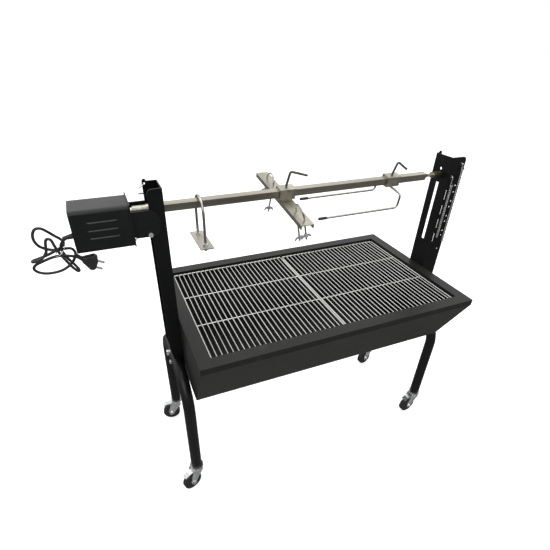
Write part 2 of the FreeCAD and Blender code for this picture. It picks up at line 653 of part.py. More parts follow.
def make_brace():
    x = dim("brace_x")
    top = dim("brace_top")
    keep(rolled(set_shape("BraceCollar", square_collar(dim("collar_length"))), x), "brace_collar")
    bar = bar_channel()
    bolts = []
    roll = Placement(Vector(x, 0, dim("axis_height")),
                     Rotation(Vector(1, 0, 0), dim("spit_roll")))
    for name, (middle, half, crown, low_front, low_back, lean) in BRACE_BOLTS.items():
        leaning = Placement(Vector(), Rotation(Vector(0, 1, 0), lean), Vector(0, 0, top))
        bolt = arched_rod(low_front, low_back, half, crown, dim("brace_rod"), middle)
        bolt.Placement = leaning
        bolts.append(bolt)
        bar = bar.cut(bolt)
        for end, low, word in ((-1, low_front, "front"), (1, low_back, "back")):
            nut = set_shape("WingNut" + name.title() + word.title(), wing_nut())
            nut.Placement = roll * leaning * Placement(Vector(0, middle + end * half, low + 19),
                                                       Rotation())
            keep(nut, f"brace_wing_nut_{name}_{word}")
    keep(rolled(set_shape("BraceBar", bar), x), "brace_bar")
    keep(rolled(set_shape("BraceBolts", Part.makeCompound(bolts)), x), "brace_ubolts")
    keep(rolled(set_shape("BraceLock", lock_bolt(8, 46, 57, 17)), x), "brace_lock_bolt")


def make_tines():
    x = dim("tine_x")
    keep(rolled(set_shape("TineCollar", square_collar(dim("collar_length"))), x), "fork_collar")
    radius, half, drop = dim("tine_rod"), dim("tine_half"), dim("tine_drop")
    under = -dim("collar_half") - radius + 0.4
    end = dim("tine_end") - x
    sleeve = end + dim("tine_sleeve")
    path = [(end + 4, -half, drop), (0, -half, drop), (0, -half, under), (0, half, under),
            (0, half, drop), (end + 4, half, drop)]
    collar = Part.makeBox(100, 2 * dim("collar_half"), 2 * dim("collar_half"),
                          Vector(-50, -dim("collar_half"), -dim("collar_half")))
    tines = rod(path, radius, dim("tine_bend")).cut(collar)
    keep(rolled(set_shape("Tines", tines), x), "fork_tines")
    tips = []
    for y in (-half, half):
        tube = Part.makeCylinder(radius + 1.2, sleeve - end - 3, Vector(end + 3, y, drop),
                                 Vector(1, 0, 0))
        nose = Part.makeCone(2.0, radius + 1.2, 3, Vector(end, y, drop), Vector(1, 0, 0))
        hole = Part.makeCylinder(radius, sleeve - end, Vector(end + 4, y, drop), Vector(1, 0, 0))
        tips.append(tube.fuse([nose]).cut(hole))
    keep(rolled(set_shape("TineTips", Part.makeCompound(tips)), x), "fork_tips")
    keep(rolled(set_shape("TineLock", lock_bolt(9, 42, 44, 28)), x), "fork_lock_bolt")


# ---------------------------------------------------------------- motor

# lower edges of the three ventilation slots in the cover's front
LOUVRES = [1028.0, 1007.0, 987.0]


def make_motor():
    left, right = dim("motor_left"), dim("motor_right")
    front, back = dim("motor_front"), dim("motor_back")
    low, high = dim("motor_low"), dim("motor_high")
    wall = dim("motor_plate")

    def shell(inset, bend):
        block = Part.makeBox(right - left - inset, back - front - 2 * inset, high - low - 2 * inset,
                             Vector(left + inset, front + inset, low + inset))
        bends = [e for e in block.Edges
                 if abs(e.Length - (right - left - inset)) < 0.01
                 and e.CenterOfMass.z > (low + high) / 2]
        return block.makeFillet(bend, bends)

    cover = shell(0, dim("motor_bend")).cut(shell(wall, dim("motor_bend") - wall))
    for height in LOUVRES:
        slot = Part.makeBox(dim("louvre_length"), 3 * wall, dim("louvre_gap"),
                            Vector(dim("louvre_left"), front - wall, height))
        cover = cover.cut(slot)
    keep(set_shape("MotorCover", cover), "motor_cover")

    gearbox = Part.makeBox(80, 66, 70, Vector(right - 80, -33, dim("axis_height") - 45))
    bore = Part.makeCylinder(dim("shaft_radius") + dim("running_gap"), 60,
                             Vector(right - 40, 0, dim("axis_height")), Vector(1, 0, 0))
    keep(set_shape("Gearbox", gearbox.cut(bore)), "motor_gearbox")

    margin = "Dims.mount_margin"
    plate_spot = ["Dims.motor_right", f"Dims.motor_front - {margin}", f"Dims.motor_low - {margin}"]
    plate = box("MountPlate", ["Dims.mount_plate",
                               f"Dims.motor_back - Dims.motor_front + 2 * {margin}",
                               f"Dims.motor_high - Dims.motor_low + 2 * {margin}"], plate_spot)
    hole = cylinder("MountHole", "Dims.coupling_radius", "20",
                    ["Dims.motor_right - 5", "0", AXIS], ALONG_X)
    keep(cut("MotorMount", plate, hole), "motor_plate")

    for word, side in (("Front", -1), ("Back", 1)):
        body = new_body("Strap" + word)
        offset = "Dims.post_half" if side < 0 else "-Dims.post_half - Dims.strap_plate"
        profile = sketch_on(body, "XZ_Plane", offset)
        nose = "(Dims.strap_high - Dims.strap_low) / 4"
        outline(profile, [
            ("Dims.strap_left", "Dims.strap_low"),
            (f"Dims.strap_right - {nose}", "Dims.strap_low"),
            (f"Dims.strap_right - {nose} * 0.3", f"Dims.strap_low + {nose} * 0.6"),
            ("Dims.strap_right", f"Dims.strap_low + {nose} * 1.6"),
            ("Dims.strap_right", f"Dims.strap_high - {nose} * 1.6"),
            (f"Dims.strap_right - {nose} * 0.3", f"Dims.strap_high - {nose} * 0.6"),
            (f"Dims.strap_right - {nose}", "Dims.strap_high"),
            ("Dims.strap_left", "Dims.strap_high")])
        body.Tip = pad(body, profile, "Dims.strap_plate")
        keep(body, f"motor_strap_{word.lower()}")

    clamp_x, clamp_z = dim("clamp_x"), dim("clamp_z")
    reach = dim("post_half") + dim("strap_plate")
    pin = Part.makeCylinder(dim("clamp_radius"), 2 * reach + 12, Vector(clamp_x, -reach - 6, clamp_z),
                            Vector(0, 1, 0))
    heads = [hexagon(12, 5, (clamp_x, y, clamp_z), (0, 1, 0)) for y in (-reach - 5, reach)]
    bolt = pin.fuse(heads)
    bolts = [bolt]
    for z in (low + 14, high - 14):
        bolts.append(Part.makeCylinder(4.5, 3, Vector(right + dim("mount_plate"), front + 8, z),
                                       Vector(1, 0, 0)))
    keep(set_shape("MotorBolts", Part.makeCompound(bolts)), "motor_bolts")


def pierce_straps():
    """The clamp bolt's holes, cut once the straps' bodies are solid."""
    for node in [n for n in nodes if n.Label.startswith("motor_strap")]:
        sketch = sketch_on(node, "XZ_Plane")
        ring(sketch, "Dims.clamp_x", "Dims.clamp_z", "Dims.clamp_radius")
        node.Tip = pocket(node, sketch, "4 * Dims.post_half", both_ways=True)


# ---------------------------------------------------------------- hooks, chains, fixings

def oval_link(centre, flat):
    """One chain link standing upright, its face turned by a quarter when flat is set."""
    half, wide, wire = dim("link_half"), dim("link_width"), dim("link_wire")
    r = wide - wire
    straight = half - wide
    path = Part.Wire([
        Part.LineSegment(Vector(-r, 0, -straight), Vector(-r, 0, straight)).toShape(),
        Part.Arc(Vector(-r, 0, straight), Vector(0, 0, straight + r), Vector(r, 0, straight)).toShape(),
        Part.LineSegment(Vector(r, 0, straight), Vector(r, 0, -straight)).toShape(),
        Part.Arc(Vector(r, 0, -straight), Vector(0, 0, -straight - r), Vector(-r, 0, -straight)).toShape()])
    profile = Part.Wire([Part.makeCircle(wire, Vector(-r, 0, -straight), Vector(0, 0, 1))])
    link = path.makePipeShell([profile], True, False)
    if flat:
        link.rotate(Vector(), Vector(0, 0, 1), 90)
    link.translate(centre)
    return link


def chain(top, bottom):
    top, bottom = Vector(*top), Vector(*bottom)
    count = max(2, int(round((top - bottom).Length / dim("link_pitch"))))
    links = []
    for i in range(count + 1):
        links.append(oval_link(top + (bottom - top) * (i / count), i % 2 == 1))
    return Part.makeCompound(links)


def s_hook(x, hole_z, low_z, front_y):
    """Hook through a flange hole at its top and open at its foot, where the chain hangs."""
    radius = dim("hook_wire")
    back = front_y + 17
    path = [(x, back, hole_z - 9), (x, back, hole_z), (x, front_y, hole_z),
            (x, front_y, low_z), (x, front_y - 9, low_z), (x, front_y - 9, low_z + 9)]
    return rod(path, radius, 3.5)


def make_hooks():
    front = -dim("post_half") - 5.5
    top = dim("rim_top")
    outer_x, outer_z = dim("flange_hole_x"), top + FLANGE_HOLES[0]
    inner_x, inner_z = dim("inner_hook_x"), top + INNER_HOOK_HOLE
    link_y = front - 4.5
    keep(set_shape("HookOuter", s_hook(outer_x, outer_z, outer_z - 20, front)), "hook_outer")
    keep(set_shape("ChainOuter", chain((outer_x, link_y, outer_z - 21.85),
                                       (outer_x + 2.5, link_y, top + 109))), "chain_outer")
    keep(set_shape("HookInner", s_hook(inner_x, inner_z, inner_z - 32, front)), "hook_inner")
    keep(set_shape("ChainInner", chain((inner_x, link_y, inner_z - 33.85),
                                       (inner_x, link_y, top + 131))), "chain_inner")
    loop = Part.makeTorus(dim("loop_radius"), dim("loop_wire"))
    loop.rotate(Vector(), Vector(0, 1, 0), -35)
    loop.translate(Vector(dim("loop_x"), dim("post_half") - dim("post_plate") / 2, dim("loop_z")))
    keep(set_shape("HookLeft", loop), "hook_left")


def make_fixings():
    """Bolts that hold the leg frames to the posts' webs."""
    bolts = []
    for side in (-1, 1):
        start = dim("post_face") + dim("post_plate") + 2 * dim("leg_radius") + 0.3
        for y in (-22.0, 22.0):
            head = hexagon(13, 6, (side * start, y, dim("leg_bar_height")), (side, 0, 0))
            bolts.append(head)
    knob = Part.makeCylinder(6, 12, Vector(-dim("post_left_edge"), -dim("post_half") + 7,
                                           dim("rim_top") - 126), Vector(-1, 0, 0))
    bolts.append(knob)
    bolts.append(Part.makeCylinder(3.2, 13, Vector(-dim("post_left_edge"), dim("post_half") - 3.5,
                                                   dim("rim_top") + 378), Vector(-1, 0, 0)))
    keep(set_shape("FrameBolts", Part.makeCompound(bolts)), "frame_bolts")


# ---------------------------------------------------------------- mains lead

# The lead leaves the cover's end and dips into the tied hank.
LEAD = [(-711.7, -50.0, 1000.0), (-723.0, -50.0, 998.0), (-736.0, -47.0, 990.0),
        (-746.0, -42.0, 974.0)]


def cord_tube(points):
    """Straight runs joined by arcs as large as the runs allow."""
    spots = [Vector(*p) for p in points]
    edges = []
    start = spots[0]
    length = 0.0
    radii = []
    for before, corner, after in zip(spots, spots[1:], spots[2:]):
        into = (corner - before).normalize()
        out = (after - corner).normalize()
        turn = into.getAngle(out)
        back = 0.45 * min((corner - before).Length, (after - corner).Length)
        radius = back / math.tan(turn / 2)
        radii.append(round(radius, 1))
        inward = (out - into).normalize()
        a = corner - into * back
        b = corner + out * back
        centre = corner + inward * (radius / math.cos(turn / 2))
        edges.append(Part.LineSegment(start, a).toShape())
        edges.append(Part.Arc(a, centre - inward * radius, b).toShape())
        length += (a - start).Length + radius * turn
        start = b
    edges.append(Part.LineSegment(start, spots[-1]).toShape())
    length += (spots[-1] - start).Length
    profile = Part.Wire([Part.makeCircle(dim("cord_radius"), spots[0], spots[1] - spots[0])])
    tube = Part.Wire(edges).makePipeShell([profile], True, False)
    section = math.pi * dim("cord_radius") ** 2
    print("cord radii", radii, "length", round(length, 1), "volume ratio",
          round(tube.Volume / (section * length), 4))
    return tube


def lobe(centre, long_half, short_half, tilt):
    """Flat oval slab, one loop of the hank: long axis tilted from +X towards +Z."""
    oval = Part.Ellipse(Vector(), long_half, short_half).toShape()
    slab = Part.Face(Part.Wire([oval])).extrude(Vector(0, 0, dim("hank_depth")))
    slab.rotate(Vector(), Vector(0, 0, 1), tilt)
    slab.rotate(Vector(), Vector(1, 0, 0), 90)
    slab.translate(Vector(centre[0], dim("hank_middle") + dim("hank_depth") / 2, centre[1]))
    return slab


def make_cord():
    relief = Part.makeCone(6.5, 4.6, 14, Vector(*LEAD[0]), Vector(-1, 0, -0.12))
    tube = cord_tube(LEAD)
    keep(set_shape("CordRelief", relief.cut(tube)), "cord_relief")
    hank = lobe((-768, 985), 46, 27, -58).fuse([lobe((-768, 923), 56, 21, 8),
                                                lobe((-741, 950), 58, 19, -64),
                                                lobe((-775, 951), 50, 15, 10)])
    keep(set_shape("CordHank", hank), "cord_hank")
    keep(set_shape("CordLead", tube.cut(hank)), "cord_lead")
    depth = dim("plug_depth")
    middle = dim("hank_middle")
    face = Part.Face(Part.makePolygon([
        Vector(x, middle - depth / 2, z)
        for x, z in ((-703, 936), (-674, 939), (-667, 933), (-669, 917), (-677, 901), (-683, 897),
                     (-692, 900), (-706, 924), (-703, 936))]))
    body = face.extrude(Vector(0, depth, 0))
    body = body.makeFillet(3.5, [e for e in body.Edges if abs(e.Length - depth) > 0.01])
    tail = Vector(-719, middle, 946)
    along = Vector(-698, middle, 925) - tail
    neck = Part.makeCone(4.6, 6.5, along.Length, tail, along)
    plug = body.fuse([neck]).cut(hank)
    keep(set_shape("CordPlug", plug), "cord_plug")
    blades = []
    for x, z, turn in ((-668.5, 919, -28), (-677, 902, -28)):
        blade = Part.makeBox(19, 1.6, 6.3, Vector(-2, -0.8, -3.15))
        blade.rotate(Vector(), Vector(0, 1, 0), -turn)
        blade.translate(Vector(x, middle, z))
        blades.append(blade.cut(plug))
    keep(set_shape("CordPins", Part.makeCompound(blades)), "cord_pins")


# ---------------------------------------------------------------- assembly

make_trough()
make_grate("grate_left", -1)
make_grate("grate_right", 1)
make_post("post_left", -1, "Dims.post_left_edge", "Dims.post_left_edge", [], [])
make_post("post_right", 1, "Dims.post_right_edge", "Dims.post_back_edge", FLANGE_SLOTS,
          FLANGE_HOLES)
make_leg_frame("leg_frame_left", -1)
make_leg_frame("leg_frame_right", 1)
sockets = [make_socket("Socket" + str(i), side, leg)
           for i, (side, leg, turn) in enumerate(CASTORS.values(), start=1)]
keep(group("LegSockets", sockets), "leg_sockets")
for corner, (side, leg, turn) in CASTORS.items():
    make_castor(corner, side, leg, turn)
make_spit()
make_saddle()
make_brace()
make_tines()
make_motor()
doc.recompute()
pierce_straps()
make_hooks()
make_fixings()
make_cord()
doc.recompute()

for piece in doc.Objects:
    if "Invalid" in piece.State or "Error" in piece.State:
        raise RuntimeError(piece.Name + " failed: " + str(piece.State))
os.makedirs("parts", exist_ok=True)
for node in nodes:
    if node.Shape.isNull() or not node.Shape.isValid() or not node.Shape.Solids:
        raise RuntimeError(node.Label + " has no valid solid")
    node.Shape.exportStep(f"parts/{node.Label}.step")
print(len(nodes), "nodes")
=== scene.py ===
import math

import bmesh
import bpy
from mathutils import Matrix, Vector


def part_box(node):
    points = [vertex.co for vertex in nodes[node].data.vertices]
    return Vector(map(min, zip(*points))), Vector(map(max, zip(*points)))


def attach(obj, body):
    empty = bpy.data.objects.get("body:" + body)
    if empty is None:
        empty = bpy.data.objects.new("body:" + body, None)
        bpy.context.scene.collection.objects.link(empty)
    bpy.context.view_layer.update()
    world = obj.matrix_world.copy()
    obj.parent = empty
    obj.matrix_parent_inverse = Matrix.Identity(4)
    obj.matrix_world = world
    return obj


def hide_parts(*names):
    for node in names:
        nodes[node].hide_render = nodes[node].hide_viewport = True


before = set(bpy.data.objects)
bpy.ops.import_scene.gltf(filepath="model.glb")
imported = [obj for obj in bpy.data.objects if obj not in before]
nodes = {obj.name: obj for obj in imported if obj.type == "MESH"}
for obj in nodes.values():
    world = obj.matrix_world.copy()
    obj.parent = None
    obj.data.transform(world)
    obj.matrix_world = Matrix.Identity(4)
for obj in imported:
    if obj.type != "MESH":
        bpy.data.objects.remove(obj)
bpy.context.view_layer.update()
MM = 0.001


# ---------------------------------------------------------------- camera

EYE = Vector((-0.6317, -1.0667, 1.4196))
YAW, PITCH, ROLL = (math.radians(a) for a in (23.547, 35.053, 1.474))
SENSOR_WIDTH = 36
FOCAL_LENGTH = 26.104
LENS_SHIFT = (0.0162, 0.0668)
NEAREST_SEEN = 0.01


def make_camera():
    forward = Vector((math.sin(YAW) * math.cos(PITCH), math.cos(YAW) * math.cos(PITCH),
                      -math.sin(PITCH)))
    level = Vector((math.cos(YAW), -math.sin(YAW), 0))
    down = Vector((-math.sin(YAW) * math.sin(PITCH), -math.cos(YAW) * math.sin(PITCH),
                   -math.cos(PITCH)))
    right = level * math.cos(ROLL) - down * math.sin(ROLL)
    low = level * math.sin(ROLL) + down * math.cos(ROLL)
    camera = bpy.data.objects.new("Camera", bpy.data.cameras.new("Camera"))
    camera.data.sensor_width = SENSOR_WIDTH
    camera.data.lens = FOCAL_LENGTH
    camera.data.shift_x, camera.data.shift_y = LENS_SHIFT
    camera.data.clip_start = NEAREST_SEEN
    axes = Matrix((right, -low, -forward)).transposed().to_4x4()
    camera.matrix_world = Matrix.Translation(EYE) @ axes
    bpy.context.collection.objects.link(camera)
    bpy.context.scene.camera = camera


# ---------------------------------------------------------------- materials

CLEAR_COAT_ROUGHNESS = 0.25
DRIFT_STOPS = (0.3, 0.7)
WEAR_STOPS = (0.63, 0.72)
ROUGHNESS_DRIFT = 0.09
LOWEST_ROUGHNESS = 0.03
BUMP_DEPTH = 0.0006
BROAD_DETAIL, WEAR_DETAIL, FINE_DETAIL = 5, 8, 2
TROUGH_MIDDLE = (0, 0, 0.62)
# Painted shade: near-black colour put on the trough's inward-facing faces, in place of the shade
# inside it.
PAINTED_INSIDE_SHADE = (0.002, 0.002, 0.002)


def noise(tree, mapping, scale, detail):
    node = tree.nodes.new("ShaderNodeTexNoise")
    node.inputs["Scale"].default_value = scale
    node.inputs["Detail"].default_value = detail
    tree.links.new(mapping.outputs["Vector"], node.inputs["Vector"])
    return node.outputs["Fac"]


def ramp(tree, factor, stops, colors):
    """Colour ramp with two stops."""
    node = tree.nodes.new("ShaderNodeValToRGB")
    for element, stop, color in zip(node.color_ramp.elements, stops, colors):
        element.position = stop
        element.color = [*color, 1]
    tree.links.new(factor, node.inputs["Fac"])
    return node.outputs["Color"]


def mix_color(tree, factor, color, other):
    """The linked colour where the factor is 0, and the fixed other colour where it is 1."""
    node = tree.nodes.new("ShaderNodeMix")
    node.data_type = "RGBA"
    tree.links.new(factor, node.inputs["Factor"])
    tree.links.new(color, node.inputs["A"])
    node.inputs["B"].default_value = [*other, 1]
    return node.outputs["Result"]


def finish_material(name, color, metallic, roughness, variation, grain, fine, bump,
                    stretch=(1, 1, 1), coat=0.0, wear=None, specular=0.5, painted_inside_shade=None):
    """Procedural surface: broad colour and roughness drift, fine bump, optional rubbed patches,
    optional painted shade on faces inside the trough.
    """
    material = bpy.data.materials.new(name)
    material.use_nodes = True
    tree = material.node_tree
    shader = tree.nodes["Principled BSDF"]
    shader.inputs["Metallic"].default_value = metallic
    shader.inputs["Coat Weight"].default_value = coat
    shader.inputs["Coat Roughness"].default_value = CLEAR_COAT_ROUGHNESS
    shader.inputs["Specular IOR Level"].default_value = specular
    place = tree.nodes.new("ShaderNodeTexCoord")
    mapping = tree.nodes.new("ShaderNodeMapping")
    mapping.inputs["Scale"].default_value = stretch
    tree.links.new(place.outputs["Object"], mapping.inputs["Vector"])

    broad = noise(tree, mapping, grain, BROAD_DETAIL)
    darker = [c * (1 - variation) for c in color]
    lighter = [min(1, c * (1 + variation)) for c in color]
    surface = ramp(tree, broad, DRIFT_STOPS, (darker, lighter))
    if wear:
        worn_color, patch_scale = wear
        patches = noise(tree, mapping, patch_scale, WEAR_DETAIL)
        mask = ramp(tree, patches, WEAR_STOPS, ((0, 0, 0), (1, 1, 1)))
        surface = mix_color(tree, mask, surface, worn_color)
    # painted shade: faces turned to the middle of the trough are made near black
    if painted_inside_shade:
        surface = mix_color(tree, facing_inward(tree), surface, painted_inside_shade)
    tree.links.new(surface, shader.inputs["Base Color"])

    spread = tree.nodes.new("ShaderNodeMapRange")
    spread.inputs["To Min"].default_value = max(LOWEST_ROUGHNESS, roughness - ROUGHNESS_DRIFT)
    spread.inputs["To Max"].default_value = min(1, roughness + ROUGHNESS_DRIFT)
    tree.links.new(broad, spread.inputs["Value"])
    tree.links.new(spread.outputs["Result"], shader.inputs["Roughness"])

    relief = tree.nodes.new("ShaderNodeBump")
    relief.inputs["Strength"].default_value = bump
    relief.inputs["Distance"].default_value = BUMP_DEPTH
    tree.links.new(noise(tree, mapping, fine, FINE_DETAIL), relief.inputs["Height"])
    tree.links.new(relief.outputs["Normal"], shader.inputs["Normal"])
    return material


def facing_inward(tree):
    """1 on the faces whose normal points to the middle of the trough, and 0 on the others."""
    geometry = tree.nodes.new("ShaderNodeNewGeometry")
    offset = tree.nodes.new("ShaderNodeVectorMath")
    offset.operation = "SUBTRACT"
    offset.inputs[1].default_value = TROUGH_MIDDLE
    tree.links.new(geometry.outputs["Position"], offset.inputs[0])
    outward = tree.nodes.new("ShaderNodeVectorMath")
    outward.operation = "DOT_PRODUCT"
    tree.links.new(offset.outputs["Vector"], outward.inputs[0])
    tree.links.new(geometry.outputs["True Normal"], outward.inputs[1])
    inside = tree.nodes.new("ShaderNodeMath")
    inside.operation = "LESS_THAN"
    inside.inputs[1].default_value = 0.0
    tree.links.new(outward.outputs["Value"], inside.inputs[0])
    return inside.outputs["Value"]


# Each finish: name, colour, metallic, roughness, variation, grain, fine, bump and its extras.
MATERIALS = {
    # The two firebox coats carry painted shade: near black on the faces inside the trough.
    "black_coat": finish_material("BlackPowderCoat", (0.012, 0.012, 0.011), 0.0, 0.44,
                                  0.12, 9, 1400, 0.16, wear=((0.02, 0.02, 0.018), 14),
                                  specular=0.3, painted_inside_shade=PAINTED_INSIDE_SHADE),
    "panel_coat": finish_material("PanelPowderCoat", (0.019, 0.019, 0.016), 0.0, 0.50,
                                  0.14, 7, 1300, 0.18, wear=((0.026, 0.026, 0.023), 11),
                                  specular=0.3, painted_inside_shade=PAINTED_INSIDE_SHADE),
    "post_coat": finish_material("PostPowderCoat", (0.0035, 0.0040, 0.0038), 0.0, 0.36,
                                 0.15, 12, 1300, 0.14, wear=((0.008, 0.009, 0.008), 20),
                                 specular=0.25),
    "leg_coat": finish_material("LegGlossPaint", (0.0060, 0.0065, 0.0060), 0.0, 0.30,
                                0.12, 12, 1100, 0.08, coat=0.12, specular=0.25),
    "motor_coat": finish_material("MotorPaint", (0.0050, 0.0060, 0.0058), 0.0, 0.36,
                                  0.12, 15, 1200, 0.10, coat=0.05, specular=0.35),
    # Painted highlight: a lighter copy of the motor paint for the louvre lips, in place of the
    # light on their top edges.
    "motor_painted_highlight": finish_material("LouvrePaintedHighlight", (0.022, 0.025, 0.024), 0.0, 0.30,
                                  0.12, 30, 1200, 0.08, coat=0.1),
    "grate": finish_material("PlatedRod", (0.66, 0.66, 0.63), 0.9, 0.26,
                             0.12, 25, 500, 0.06, (1, 0.15, 1)),
    "stainless": finish_material("SatinStainless", (0.47, 0.435, 0.365), 1.0, 0.33,
                                 0.22, 60, 900, 0.16, (0.05, 1, 1)),
    "stainless_plate": finish_material("BentStainless", (0.47, 0.445, 0.38), 0.95, 0.38,
                                       0.20, 55, 900, 0.14, (1, 0.08, 1)),
    "rod": finish_material("DrawnRod", (0.50, 0.48, 0.45), 1.0, 0.28, 0.12, 60, 700, 0.05),
    "dark_rod": finish_material("DarkRod", (0.17, 0.165, 0.155), 0.9, 0.34,
                                0.15, 60, 700, 0.08),
    "zinc": finish_material("BrightZinc", (0.78, 0.79, 0.80), 0.85, 0.24,
                            0.16, 70, 900, 0.08),
    "dull_zinc": finish_material("ChainZinc", (0.62, 0.62, 0.60), 0.7, 0.36,
                                 0.25, 90, 900, 0.10),
    "tyre": finish_material("HardTyre", (0.014, 0.014, 0.015), 0.0, 0.62,
                            0.2, 60, 1500, 0.25),
    "sheath": finish_material("CordSheath", (0.016, 0.016, 0.016), 0.0, 0.42,
                              0.18, 90, 1800, 0.12),
    "bronze": finish_material("BearingBronze", (0.13, 0.11, 0.08), 0.9, 0.38,
                              0.15, 60, 900, 0.08),
}

# The first name that a node's own name starts with gives its finish.
NODE_FINISH = [
    ("firebox_panel", "panel_coat"), ("firebox", "black_coat"), ("post", "post_coat"),
    ("leg_frame", "leg_coat"), ("leg_sockets", "leg_coat"), ("leg_bracket_ubolt", "rod"),
    ("leg_bracket_plate", "stainless_plate"), ("leg_bracket_nuts", "zinc"), ("grate", "grate"),
    ("spit_bushing", "bronze"), ("spit_coupling", "stainless_plate"), ("spit_bar", "stainless"),
    ("brace_bar", "stainless_plate"), ("brace_collar", "stainless_plate"),
    ("brace_ubolts", "rod"), ("brace_wing", "zinc"), ("brace_lock", "dark_rod"),
    ("fork_collar", "stainless_plate"), ("fork_tines", "rod"), ("fork_tips", "sheath"),
    ("fork_lock", "dark_rod"), ("motor_bolts", "zinc"), ("motor", "motor_coat"),
    ("frame_bolts", "zinc"), ("hook", "zinc"), ("chain", "dull_zinc"),
    ("cord_pins", "zinc"), ("cord", "sheath"),
]
CASTOR_FINISH = {"fork": "zinc", "wheel": "tyre", "brake": "zinc"}


def paint_nodes():
    for name, piece in nodes.items():
        if name.startswith("castor"):
            finish = CASTOR_FINISH[name.rsplit("_", 1)[1]]
        else:
            finish = next(f for start, f in NODE_FINISH if name.startswith(start))
        for slot in piece.material_slots:
            slot.material = MATERIALS[finish]


# ---------------------------------------------------------------- mesh helpers

LINE_ORDER = 3
LINE_STEPS = 10
BEVEL_STEPS = 5
SAME_SPOT = 0.0002
SAME_VERTEX = 0.00002


def add_mesh(name, bm, finish, body):
    mesh = bpy.data.meshes.new(name)
    bm.to_mesh(mesh)
    bm.free()
    for face in mesh.polygons:
        face.use_smooth = True
    mesh.materials.append(MATERIALS[finish])
    piece = bpy.data.objects.new(name, mesh)
    bpy.context.collection.objects.link(piece)
    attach(piece, body)
    return piece


def skin(bm, rings):
    """Four-sided faces from each closed ring of vertices to the next."""
    for a, b in zip(rings, rings[1:]):
        count = len(a)
        for k in range(count):
            bm.faces.new((a[k], a[(k + 1) % count], b[(k + 1) % count], b[k]))


def line_curve(name, points, closed):
    data = bpy.data.curves.new(name, "CURVE")
    data.dimensions = "3D"
    data.resolution_u = LINE_STEPS
    spline = data.splines.new("NURBS")
    spline.points.add(len(points) - 1)
    for spot, point in zip(spline.points, points):
        spot.co = (*point, 1)
    spline.order_u = LINE_ORDER
    spline.use_cyclic_u = closed
    spline.use_endpoint_u = not closed
    return bpy.data.objects.new(name, data)


def line_points(curve):
    """The points that the smooth line follows, read from the curve with no bevel."""
    line = bpy.data.meshes.new_from_object(curve)
    spots = []
    for vertex in line.vertices:
        if not spots or (vertex.co - spots[-1]).length > SAME_SPOT:
            spots.append(vertex.co.copy())
    return spots


def add_tube(name, points, radius, finish, body, closed=False):
    """Mesh tube round a smooth line; returns it with the points that it follows."""
    curve = line_curve(name + "_line", points, closed)
    spots = line_points(curve)
    curve.data.bevel_depth = radius
    curve.data.bevel_resolution = BEVEL_STEPS
    curve.data.use_fill_caps = True
    mesh = bpy.data.meshes.new_from_object(curve)
    mesh.name = name
    bpy.data.objects.remove(curve)
    bm = bmesh.new()
    bm.from_mesh(mesh)
    bmesh.ops.remove_doubles(bm, verts=bm.verts, dist=SAME_VERTEX)
    bpy.data.meshes.remove(mesh)
    return add_mesh(name, bm, finish, body), spots


# ---------------------------------------------------------------- mains lead

CORD_DIAMETER = 0.007
# Out of the cover, through the tie, down and back, round the loops and out to the plug.
CORD_ROUTE = [
    (-711, -50, 1000), (-723, -50, 998), (-736, -47, 990), (-746, -42, 974),
    (-743, -40, 952), (-734, -38, 932), (-725, -38, 917), (-717, -43, 904), (-719, -55, 904),
    (-729, -59, 919), (-738, -60, 938), (-748, -60, 960), (-756, -59, 984), (-760, -56, 1003),
    (-772, -52, 1001), (-776, -50, 983), (-778, -49, 967), (-788, -51, 955), (-803, -52, 948),
    (-816, -48, 945), (-816, -36, 944), (-801, -33, 946), (-783, -33, 951), (-765, -33, 958),
    (-747, -33, 966), (-736, -29, 974), (-741, -22, 984), (-753, -22, 994), (-765, -24, 1008),
    (-778, -27, 1021), (-791, -30, 1022), (-799, -32, 1009), (-800, -33, 993),
    (-794, -32, 978), (-782, -28, 967), (-768, -25, 960), (-750, -24, 957), (-734, -26, 960),
    (-722, -29, 959), (-716, -31, 948), (-720, -30, 934), (-729, -29, 921), (-742, -29, 910),
    (-758, -31, 903), (-777, -33, 901), (-797, -35, 903), (-813, -37, 911), (-820, -40, 924),
    (-812, -43, 935), (-796, -44, 941), (-780, -43, 946), (-764, -46, 951), (-748, -50, 953),
    (-733, -50, 950), (-722, -47, 945), (-712, -43, 938), (-704, -40, 930)]

RELIEF_AXIS = Vector((-0.99, 0, -0.14)).normalized()
RELIEF_LENGTH = 0.024
RELIEF_WIDE, RELIEF_NARROW = 0.0066, 0.0042
RELIEF_RIB = 0.0007
RELIEF_STEPS, RELIEF_SIDES, STEPS_PER_RIB = 36, 24, 3

TIE_MIDDLE = Vector((-748, -41, 963)) * MM
TIE_REACH = Vector((0.013, 0.025, 0.010))
TIE_POINTS = 14
TIE_WIRE_RADIUS = 0.0011


def make_cord():
    points = [Vector(p) * MM for p in CORD_ROUTE]
    cord, spots = add_tube("mains_lead", points, CORD_DIAMETER / 2, "sheath", "base")
    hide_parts("cord_lead", "cord_hank")
    make_relief()
    make_tie()


def make_relief():
    """Tapered, ribbed sleeve where the lead leaves the cover."""
    start = Vector(CORD_ROUTE[0]) * MM
    side = RELIEF_AXIS.cross(Vector((0, 0, 1))).normalized()
    up = side.cross(RELIEF_AXIS)
    bm = bmesh.new()
    rings = []
    for i in range(RELIEF_STEPS + 1):
        t = i / RELIEF_STEPS
        rib = RELIEF_RIB if (i // STEPS_PER_RIB) % 2 == 0 else 0.0
        radius = RELIEF_WIDE * (1 - t) + RELIEF_NARROW * t + rib * (1 - t)
        ring = []
        for k in range(RELIEF_SIDES):
            turn = 2 * math.pi * k / RELIEF_SIDES
            ring.append(bm.verts.new(start + RELIEF_AXIS * (t * RELIEF_LENGTH)
                                     + (side * math.cos(turn) + up * math.sin(turn)) * radius))
        rings.append(ring)
    skin(bm, rings)
    bm.faces.new(rings[-1])
    relief = add_mesh("strain_relief", bm, "sheath", "base")
    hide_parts("cord_relief")
    return relief


